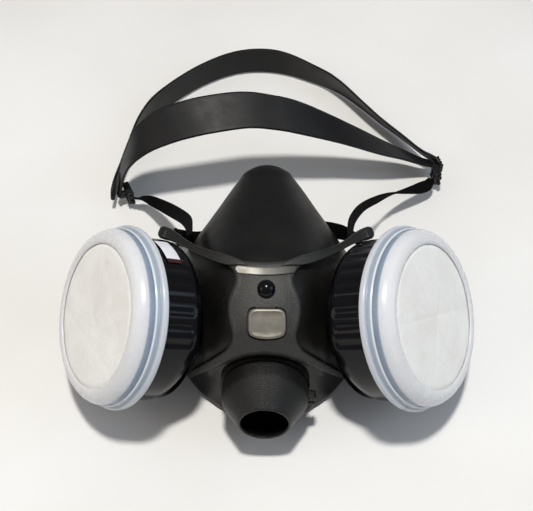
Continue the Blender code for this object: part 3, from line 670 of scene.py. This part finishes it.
def cylinder_cutter(name, radius, low, high, place):
    """A hidden tool for one Boolean, in mask space."""
    work = bmesh.new()
    middle = Matrix.Translation((0, 0, (low + high) / 2))
    bmesh.ops.create_cone(work, cap_ends=True, segments=96, radius1=radius, radius2=radius,
                          depth=high - low, matrix=middle)
    mesh = mesh_from(work, name)
    mesh.transform(MASK.inverted() @ place @ SCALE)
    return add_object(name, mesh)


def add_boolean(target, tool, operation):
    """Queue one cut or join of the rubber."""
    change = target.modifiers.new(tool.name, "BOOLEAN")
    change.operation = operation
    change.solver = "EXACT"
    change.object = tool


def raise_rims(mesh):
    """Low moulded ridges: one round each inlet, one across the tip of the nose."""
    inverse = {side: (MASK.inverted() @ axis).inverted() for side, axis in AXES.items()}
    normals = [vert.normal.copy() for vert in mesh.vertices]
    for vert, normal in zip(mesh.vertices, normals):
        lift = 0.0
        for frame_in in inverse.values():
            local = frame_in @ vert.co / MM
            if -40 < local.z < -14:
                radius = math.hypot(local.x, local.y)
                lift += 0.9 * math.exp(-((radius - INLET_RIM) / 1.3) ** 2)
        tip = vert.co.y / MM
        lift += 0.5 * math.exp(-((tip - NOSE_RIDGE) / 1.6) ** 2)
        vert.co += normal * lift * MM


def facepiece(skin):
    """Soft rubber cup with bosses, bored for the connectors and the exhalation valve."""
    mesh = skin.copy()
    raise_rims(mesh)
    holder = add_object("facepiece_work", mesh)
    wall = holder.modifiers.new("wall", "SOLIDIFY")
    wall.thickness = WALL * MM
    wall.offset = -1.0
    wall.use_even_offset = True
    tools = [(cylinder_cutter("boss", 24, -36, -26, axis), "UNION") for axis in AXES.values()]
    tools.append((cylinder_cutter("valve_boss", 21.5, -5, -0.5, VALVE), "UNION"))
    for axis in AXES.values():
        tools.append((cylinder_cutter("recess", 22.5, -48, -35.9, axis), "DIFFERENCE"))
        tools.append((cylinder_cutter("bore", INLET_BORE, -48, -20, axis), "DIFFERENCE"))
    tools.append((cylinder_cutter("valve_bore", VALVE_BORE, -16, 6, VALVE), "DIFFERENCE"))
    for tool, operation in tools:
        add_boolean(holder, tool, operation)
    done = evaluated(holder)
    for item in [holder] + [tool for tool, _ in tools]:
        bpy.data.objects.remove(item, do_unlink=True)
    work = bmesh.new()
    work.from_mesh(done)
    bmesh.ops.scale(work, vec=(1 / MM, 1 / MM, 1 / MM), verts=work.verts)
    finish_piece("facepiece_rubber", work, MASK, FACE_RUBBER, "mask", "facepiece",
                 50.0)


# ---- yoke, badge, button and strip
GAP = 0.3  # mm, between pieces that touch
PLATE_EDGE = 0.9
PLATE_TOP = 2.7
POCKET_DEPTH = 1.5
POCKET_MARGIN = 0.85


def dense(outline, spacing):
    """Points along a closed outline at an even spacing."""
    found = []
    for a, b in zip(outline, outline[1:] + outline[:1]):
        count = max(1, round((b - a).length / spacing))
        for k in range(count):
            found.append(a.lerp(b, k / count))
    return found


def inside(point, outline):
    """Whether a point lies inside a closed outline."""
    x, y = point
    odd = False
    for a, b in zip(outline, outline[1:] + outline[:1]):
        if (a[1] > y) != (b[1] > y) and x < (b[0] - a[0]) * (y - a[1]) / (b[1] - a[1]) + a[0]:
            odd = not odd
    return odd


def edge_distance(point, outline):
    """Distance of a point to a closed outline."""
    best = 1e9
    for a, b in zip(outline, outline[1:] + outline[:1]):
        run = b - a
        t = min(max((point - a).dot(run) / max(run.length_squared, 1e-9), 0.0), 1.0)
        best = min(best, (point - a - run * t).length_squared)
    return math.sqrt(best)


def inset(outline, distance):
    """A closed outline moved inwards; points that leave the shape are dropped."""
    found = []
    for i, point in enumerate(outline):
        run = outline[(i + 1) % len(outline)] - outline[i - 1]
        if run.length < 1e-6:
            continue
        normal = Vector((-run.y, run.x)).normalized()
        moved = point + normal * distance
        if inside(moved, outline) and edge_distance(moved, outline) > distance * 0.93:
            found.append(moved)
    return found


def counter_clockwise(outline):
    """The outline, turned round if it runs clockwise."""
    area = sum(a.x * b.y - b.x * a.y for a, b in zip(outline, outline[1:] + outline[:1]))
    return outline if area > 0 else list(reversed(outline))


def plate_into(work, outline, spacing, rings, top, bottom, creases_in=()):
    """A closed plate over an outline.

    top and bottom give the heights at (point, edge distance), and the mesh follows each crease line.
    """
    border = counter_clockwise(dense(outline, spacing))
    points = list(border)
    for distance in rings:
        points += inset(border, distance)
    extra = [point for line in creases_in for point in line]
    points += extra
    low = Vector((min(p.x for p in border), min(p.y for p in border)))
    high = Vector((max(p.x for p in border), max(p.y for p in border)))
    step = 1.3
    keep_off = max(rings) + 0.6 * step
    row = 0
    y = low.y
    while y < high.y:
        x = low.x + (step / 2 if row % 2 else 0)
        while x < high.x:
            here = Vector((x, y))
            if inside(here, border) and edge_distance(here, border) > keep_off:
                if all((here - other).length > step * 0.5 for other in extra):
                    points.append(here)
            x += step
        y += step * 0.87
        row += 1
    edges = [(i, (i + 1) % len(border)) for i in range(len(border))]
    made = geometry.delaunay_2d_cdt(points, edges, [list(range(len(border)))], 1, 1e-5)
    flat_points, faces = made[0], made[2]
    rim = {tuple(round(c, 5) for c in point) for point in border}
    upper, lower = [], []
    for point in flat_points:
        on_rim = tuple(round(c, 5) for c in point) in rim
        depth = 0.0 if on_rim else edge_distance(point, border)
        upper.append(work.verts.new((point.x, point.y, top(point, depth))))
        lower.append(work.verts.new((point.x, point.y, bottom(point, depth))))
    ends = {}
    for face in faces:
        work.faces.new([upper[i] for i in face])
        work.faces.new([lower[i] for i in reversed(face)])
        for i, j in zip(face, list(face[1:]) + [face[0]]):
            ends[(i, j)] = ends.get((i, j), 0) + 1
    for i, j in list(ends):
        if (j, i) not in ends:
            work.faces.new((upper[j], upper[i], lower[i], lower[j]))
    return work


def badge_outline(grow):
    """Shield with rounded top corners and a bowed foot, made larger all round by grow."""
    wide = 8.5 + grow
    points = [(-wide + 2.6, 6.7 + grow), (wide - 2.6, 6.7 + grow), (wide - 0.6, 5.5 + grow)]
    points += [(wide, 3.2), (wide, -3.4)]
    for k in range(1, 8):
        angle = math.pi * k / 8
        points.append((wide * math.cos(angle), -3.4 - (3.7 + grow) * math.sin(angle) ** 0.75))
    points += [(-wide, -3.4), (-wide, 3.2), (-wide + 0.6, 5.5 + grow)]
    return [Vector(p) for p in soften(points, 1.6, 3)]


def both_halves(outline):
    """A right half outline closed by its mirror image."""
    return list(outline) + [(-x, y) for x, y in reversed(outline) if x > 0]


def arm_stations(side):
    """Stations of one yoke arm, as points and half widths across its run."""
    points = [Vector((side * x, y, z)) for (x, y, z), _ in YOKE_ARM]
    found = []
    for i, (_, half) in enumerate(YOKE_ARM):
        run = points[min(i + 1, len(points) - 1)] - points[max(i - 1, 0)]
        across = Vector((0.25 * side, 0, 1)).cross(run)
        across.normalize()
        found.append((points[i], across * half * side))
    return found


def paddle_relief(u, run, total):
    """Raised side rails along the arm and three grip ribs near its tip."""
    rails = 0.35 * math.exp(-((abs(u) - 0.8) / 0.14) ** 2)
    left = total - run
    ribs = 0.0
    if abs(u) < 0.72:
        for k in range(3):
            ribs += 0.6 * math.exp(-((left - 2.6 - 1.9 * k) / 0.5) ** 2)
    return rails + ribs


def yoke(skin):
    """X-shaped plate lying on the rubber, with rounded edges, badge pocket and two arms."""
    surface = BVHTree.FromPolygons([v.co for v in skin.vertices], [p.vertices[:] for p in skin.polygons])
    down = Vector((0, 0, -1))
    cache = {}

    def skin_height(point):
        key = (round(point.x, 3), round(point.y, 3))
        if key not in cache:
            spot, normal, _, _ = surface.ray_cast(Vector((point.x * MM, point.y * MM, 0.1)), down)
            cache[key] = (spot.z / MM, max(normal.z, 0.35)) if spot else (0.0, 1.0)
        return cache[key]

    to_badge = Vector((BADGE_X, BADGE_Y))
    pocket = counter_clockwise(dense(badge_outline(POCKET_MARGIN), 0.7))
    floor_here = [point + to_badge for point in inset(pocket, 0.22)]
    pocket_here = [point + to_badge for point in pocket]

    def top(point, depth):
        height, slope = skin_height(point)
        edge = min(depth / 0.7, 1.0)
        thick = PLATE_EDGE + (PLATE_TOP - PLATE_EDGE) * math.sqrt(max(1 - (1 - edge) ** 2, 0.0))
        thick += 0.22 * math.exp(-((depth - 1.5) / 0.5) ** 2)
        if inside(point, floor_here):
            thick -= POCKET_DEPTH
        return height + thick / slope ** 0.7

    def bottom(point, depth):
        height, slope = skin_height(point)
        return height + GAP / slope ** 0.7

    work = bmesh.new()
    outline = [Vector(p) for p in soften(both_halves(YOKE_OUTLINE), 1.4, 3)]
    plate_into(work, outline, 0.8, (0.18, 0.45, 0.8, 1.2, 1.7, 2.2), top, bottom, (pocket_here, floor_here))
    for side in (1, -1):
        strip_into(work, arm_stations(side), 2.4, 8, 14, paddle_relief, (5.0, 1.8))
    finish_piece("yoke_shell", work, MASK, YOKE_PLASTIC, "mask", "yoke", 50.0)


def badge():
    """Plain shield plate, softly domed with a raised border."""

    def top(point, depth):
        border = 0.22 * math.exp(-((depth - 1.0) / 0.4) ** 2)
        return 1.0 + 0.3 * min(depth / 0.5, 1.0) ** 0.5 + border

    work = bmesh.new()
    plate_into(work, badge_outline(0.0), 0.6, (0.15, 0.4, 0.7, 1.0, 1.4), top, lambda point, depth: 0.3)
    finish_piece("badge_plate", work, BADGE, BADGE_METAL, "mask", "badge", 60.0)


def title_strip():
    """Slim blank strip across the top of the yoke, rounded at both ends."""
    reach, steps = 14, 8
    stations = []
    for k in range(steps + 1):
        x = -reach + 2 * reach * k / steps
        bend = (x / reach) ** 2
        stations.append(((x + 0.6, 19.5 + 1.5 * bend, 32.35 - 2.5 * bend), (0, 1.75, -0.55)))
    work = strip_into(bmesh.new(), stations, 0.55, 6, 10, None, (1.5, 1.5))
    finish_piece("title_plate", work, MASK, STRIP_METAL, "mask", "title_strip")


def button():
    """Glossy domed stud."""
    head, rise, foot, stem = 4.2, 3.2, 3.5, 2.0
    profile = [(0, foot + rise)]
    for k in range(1, 9):
        angle = math.pi / 2 * k / 8
        profile.append((head * math.sin(angle), foot + rise * math.cos(angle)))
    profile += [(head, foot - 0.1), (stem, foot - 0.1), (stem, 1.0), (0, 1.0)]
    work = revolve(bmesh.new(), soften(profile, 0.15, closed=False), 64)
    finish_piece("yoke_stud", work, BUTTON, GLOSS_BLACK, "mask", "yoke_button")


# ---- valve cover
TAB_ANGLE = -10


def valve_cover():
    """Textured cone with one round outlet and a notched pull tab."""
    profile = (
        (11.2, 21.5), (12.2, 21.5), (12.9, 20.6), (19.7, 10.6), (20.7, 8.4), (20.7, 0.3), (19.6, 0.3),
        (19.6, 8.2), (18.4, 9.6), (11.2, 20.2),
    )
    work = revolve(bmesh.new(), soften(profile, 1.3, 4))
    for k in (-1, 1):
        place = turn(math.radians(TAB_ANGLE + 5.6 * k), "Z") @ move(22.4, 0, 3.6)
        rounded_box_into(work, (4.4, 3.1, 5.0), place, 0.9)
    back = turn(math.radians(TAB_ANGLE), "Z") @ move(21.0, 0, 3.4)
    rounded_box_into(work, (2.4, 6.4, 4.4), back, 0.5)
    finish_piece("outlet_cover", work, VALVE, COVER_PLASTIC, "outlet_cover", "valve_cover")


# ---- cartridges and caps
BODY_RADIUS = 39.5
FLUTES = 34
FLUTE_DEPTH = 0.45
FLUTE_TOP = -0.6
FLUTE_FOOT = -16.9
PLAIN_BELOW = 0.42  # sine of the angle under which the shell is smooth


def cartridge(side, axis):
    """Glossy shell with shallow grip flutes above, smooth below, and a rounded rear shoulder."""
    wall = BODY_RADIUS
    profile = [(37.3, 7.5), (38.8, 7.5), (wall, 6.8), (wall, -0.5)]
    profile += [(wall, -0.9 - 1.1 * k) for k in range(15)]
    profile += [(39.4, -18.2), (39.0, -19.8), (38.0, -21.0), (36.2, -21.8), (33.6, -22.0), (17.4, -22.0),
                (17.4, -14), (12, -14), (12, -12), (21, -12), (21, -19), (37.3, -19)]

    def flute(radius, height, angle):
        if radius < 38.5 or height > FLUTE_TOP:
            return radius, height
        low = max(-math.sin(angle) - PLAIN_BELOW, 0.0)
        shoulder = 3.2 * min(low * 2.2, 1.0) * max((-height - 12.0) / 9.0, 0.0) ** 2
        if low > 0.0:
            return radius - shoulder, height
        fade = max(min((FLUTE_TOP - height) / 1.2, (height - FLUTE_FOOT) / 1.2, 1.0), 0.0)
        wave = (max(math.cos(angle * FLUTES), -0.35) + 0.35) / 1.35
        return radius - FLUTE_DEPTH * fade * wave, height

    work = revolve(bmesh.new(), soften(profile, 0.5, 2), FLUTES * 10, flute)
    finish_piece("cartridge_shell_" + side, work, axis, GLOSS_BLACK, "cartridge_" + side,
                 "cartridge_body_" + side)


# Radius and height, round the ring's section.
CAP_PROFILE = (
    (34.1, 13.9), (34.5, 14.5), (35.5, 14.9), (37.1, 14.8), (39.0, 13.9), (40.5, 12.3), (41.5, 10.6),
    (42.0, 8.9), (42.2, 6.2), (42.7, 5.8), (42.8, 3.8), (43.7, 3.4), (44.3, 2.6), (44.3, 0.9),
    (43.7, 0.3), (40.6, 0.3), (39.95, 1.2), (39.95, 11.2), (38.8, 13.0), (34.6, 13.6),
)


def filter_cap(side, axis):
    """Translucent push-on ring with a stepped side wall."""
    work = bmesh.new()
    along = work.verts.layers.float.new("along")
    revolve(work, soften(CAP_PROFILE, 0.45, 3), 160)
    for vert in work.verts:
        vert[along] = vert.co.z
    finish_piece("cap_ring_" + side, work, axis, CAP_PLASTIC, "cap_" + side, "filter_cap_" + side)


PAD_FLAT = 37.0  # mm, radius of the flat face
PAD_STEP = 0.85  # mm, how far the face stands up inside the ring


def creases(side):
    """Straight folds pressed into the paper: a point, a direction and a depth."""
    if side == "left":
        return ((0, 4, 20, 0.25), (-12, -18, 65, 0.3), (14, 10, 110, 0.2), (8, -22, -35, 0.3))
    return ((-10, -2, 12, 0.4), (6, 16, 80, 0.22), (12, -14, -50, 0.28), (-6, 22, 140, 0.2))


def prefilter(side, axis):
    """Pressed fibre disc, slightly crumpled and creased, tucked under the ring and raised inside it."""
    work = bmesh.new()
    rings = [(39.3, 8.0), (39.3, 11.6), (38.6, 12.6), (37.6, 13.2)]
    rings += [(PAD_FLAT - 1.25 * k, 13.25) for k in range(29)]
    profile = [(0, 13.3)] + list(reversed(rings)) + [(38.6, 7.9), (0, 7.9)]
    seed = Vector((17.0, 3.0, 5.0)) if side == "left" else Vector((-9.0, 21.0, 2.0))
    folds = []
    for x, y, angle, depth in creases(side):
        turn_to = math.radians(angle)
        folds.append((Vector((x, y)), Vector((-math.sin(turn_to), math.cos(turn_to))), depth))
    revolve(work, profile, 144)
    for vert in work.verts:
        radius = math.hypot(vert.co.x, vert.co.y)
        if vert.co.z < 12.8 or radius > PAD_FLAT - 0.1:
            continue
        calm = min((PAD_FLAT - 0.1 - radius) / 3.0, 1.0)
        rise = max(min((34.2 - radius) / 1.3, 1.0), 0.0)
        step = PAD_STEP * rise * rise * (3 - 2 * rise)
        broad = noise.noise(vert.co * 0.06 + seed) * 0.55
        crumple = noise.ridged_multi_fractal(vert.co * 0.11 + seed, 0.9, 2.1, 4, 0.9, 2.0) * 0.16
        fine = noise.noise(vert.co * 0.7 + seed) * 0.07
        dent = 0.0
        flat_point = Vector((vert.co.x, vert.co.y))
        for start, normal, depth in folds:
            away = (flat_point - start).dot(normal)
            dent -= depth * math.exp(-abs(away) / 1.1)
        vert.co.z += calm * (broad + crumple + fine + dent - 0.15) + step
    piece = finish_piece("prefilter_pad_" + side, work, axis, FIBRE, "cap_" + side, "prefilter_" + side,
                         70.0)


def label(axis):
    """Blank label wrapped round the shell."""
    radius = BODY_RADIUS + 0.5
    start, sweep, steps = 36, 26, 12
    stations = []
    for k in range(steps + 1):
        angle = math.radians(start + sweep * k / steps)
        stations.append(((radius * math.cos(angle), radius * math.sin(angle), -9.4), (0, 0, 3.7)))
    work = strip_into(bmesh.new(), stations, 0.3, 2, 8)
    finish_piece("shell_label", work, axis, LABEL, "cartridge_left", "label_left")


# ---- harness
BAND_THICKNESS = 1.5
STRAP_THICKNESS = 1.1


def band_relief(u, run, total):
    """Thin raised border along both edges of a moulded band."""
    return 0.22 * math.exp(-((abs(u) - 0.9) / 0.05) ** 2)


def cord_relief(count, depth):
    """Lengthwise cords of a woven elastic."""
    def relief(u, run, total):
        return depth * math.cos(u * math.pi * count)
    return relief


def harness():
    """Rubber crown and rear bands, two elastic straps, two buckles and the neck strap."""
    front = strip_into(bmesh.new(), FRONT_BAND + (FRONT_BAND_END,), BAND_THICKNESS, 10, 24, band_relief)
    finish_piece("crown_band", front, TABLE, BAND_RUBBER, "harness", "front_band")
    rear = strip_into(bmesh.new(), REAR_BAND, BAND_THICKNESS, 10, 24, band_relief, (4.0, 4.0))
    # Four grip ridges round the rear band's right end.
    for k in range(4):
        spot = move(102.3 + 0.68 * k, 137.6 - 1.75 * k, 11.0 - 0.12 * k) @ turn(math.radians(22), "Z")
        rounded_box_into(rear, (2.6, 1.3, 8.4 - 0.5 * k), spot, 0.5)
    finish_piece("back_band", rear, TABLE, BAND_RUBBER, "back_loop", "rear_band")
    for side, stations in (("left", STRAP_LEFT + (STRAP_LEFT_END,)), ("right", STRAP_RIGHT)):
        strap = strip_into(bmesh.new(), stations, STRAP_THICKNESS, 14, 28, cord_relief(7, 0.05))
        finish_piece("elastic_strap_" + side, strap, TABLE, ELASTIC, "harness", "strap_" + side)
    neck = strip_into(bmesh.new(), NECK_STRAP, STRAP_THICKNESS, 14, 36, cord_relief(6, 0.12))
    finish_piece("ribbed_neck_strap", neck, MASK, NECK_ELASTIC, "mask", "neck_strap")
    for side, spot, angle, length in BUCKLES:
        buckle(side, spot, angle, length)


def buckle(side, spot, angle, length):
    """Hook buckle: two cheeks, three bars, two hook lips, and a catch on the left one."""
    work = bmesh.new()
    for z in (-3.7, 3.7):
        rounded_box_into(work, (4.2, length, 1.4), move(0, 0, z), 0.55)
    for y, thick in ((0.8 - length / 2, 1.6), (0.0, length / 2 - 2.9), (length / 2 - 0.8, 1.6)):
        rounded_box_into(work, (3.4, thick, 8.4), move(0, y, 0), 0.5)
    for z in (-2.3, 2.3):
        rounded_box_into(work, (2.0, 2.6, 2.2), move(0.7, -length / 2 - 0.5, z), 0.7)
    if side == "left":
        rounded_box_into(work, (4.8, 2.8, 4.4), move(-3.4, 0.3, 0), 0.6)
    place = TABLE @ at(*spot) @ turn(math.radians(angle), "Z")
    finish_piece("hook_buckle_" + side, work, place, HARD_BLACK, "harness", "buckle_" + side)


# ---- kept CAD nodes
def dress_kept_nodes():
    """Give the CAD nodes that stay their finished materials."""
    looks = {"exhalation_valve_seat": HARD_BLACK, "exhale_flap": FLAP_RUBBER}
    for side in AXES:
        for start in ("connector_", "port_ring_", "grille_"):
            looks[start + side] = HARD_BLACK
        for start in ("inhale_flap_", "gasket_"):
            looks[start + side] = FLAP_RUBBER
        looks["sorbent_bed_" + side] = CHARCOAL
    for node, look in looks.items():
        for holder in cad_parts[node].material_slots:
            holder.material = look


# ---- stage
def table_top():
    """Plain pale floor with the faintest unevenness."""
    work = bmesh.new()
    bmesh.ops.create_grid(work, x_segments=120, y_segments=120, size=1.6)
    for vert in work.verts:
        wave = noise.noise(vert.co * 6.0 + Vector((4, 9, 1)))
        vert.co.z += 0.0006 * wave - 0.0009
    mesh = mesh_from(work, "table_top")
    mesh.shade_smooth()
    look = Look("table_look", (0.8, 0.79, 0.77), 0.85, specular=0.2)
    cloud = look.noise(5.0, 3, 0.5)
    look.colour(look.ramp(cloud, ((0.3, (0.74, 0.73, 0.71)), (0.75, (0.84, 0.84, 0.84)))))
    look.bump(look.noise(700, 4, 0.6), 0.00015, 0.4)
    mesh.materials.append(look.material)
    add_object("table_top", mesh)


def area_light(name, spot, target, size, power, colour):
    """A soft square light, aimed at a point; metres and watts."""
    data = bpy.data.lights.new(name, "AREA")
    data.shape = "RECTANGLE"
    data.size = size
    data.size_y = size
    data.energy = power
    data.color = colour
    lamp = add_object(name, data)
    lamp.location = spot
    lamp.rotation_euler = (Vector(target) - Vector(spot)).to_track_quat("-Z", "Y").to_euler()


def lighting():
    """Soft overhead light, cool window light from the right, warm fill from the left."""
    world = bpy.data.worlds.new("room")
    world.use_nodes = True
    background = world.node_tree.nodes["Background"]
    background.inputs["Color"].default_value = (0.95, 0.96, 1.0, 1.0)
    background.inputs["Strength"].default_value = 0.26
    bpy.context.scene.world = world
    area_light("overhead", (0.0, -0.2, 1.25), (0, 0, 0), 0.1, 12.9, (1.0, 0.975, 0.92))
    area_light("window", (1.1, -0.3, 0.8), (0, 0, 0.03), 0.7, 3.0, (0.6, 0.78, 1.0))
    area_light("room_fill", (-1.0, -0.4, 0.7), (0, 0, 0.03), 0.7, 2.0, (1.0, 0.88, 0.76))
    bpy.context.scene.view_settings.view_transform = "Standard"


def camera():
    """Camera beyond the chin, looking down and towards the nose."""
    data = bpy.data.cameras.new("camera")
    data.sensor_width = 36.0
    data.lens = 60.8
    data.clip_start = 0.01
    spot = Vector((8.253, -249.004 + TO_CENTRE, 409.117))
    angles = (38.1813, 0.7165, 0.7313)
    eye = add_object("camera", data)
    eye.location = spot * MM
    eye.rotation_euler = [math.radians(angle) for angle in angles]
    bpy.context.scene.camera = eye


# ---- build
camera()
lighting()
table_top()
outer_skin = face_skin()
facepiece(outer_skin)
yoke(outer_skin)
badge()
title_strip()
button()
valve_cover()
for side_name, side_axis in AXES.items():
    cartridge(side_name, side_axis)
    filter_cap(side_name, side_axis)
    prefilter(side_name, side_axis)
label(AXES["left"])
harness()
dress_kept_nodes()
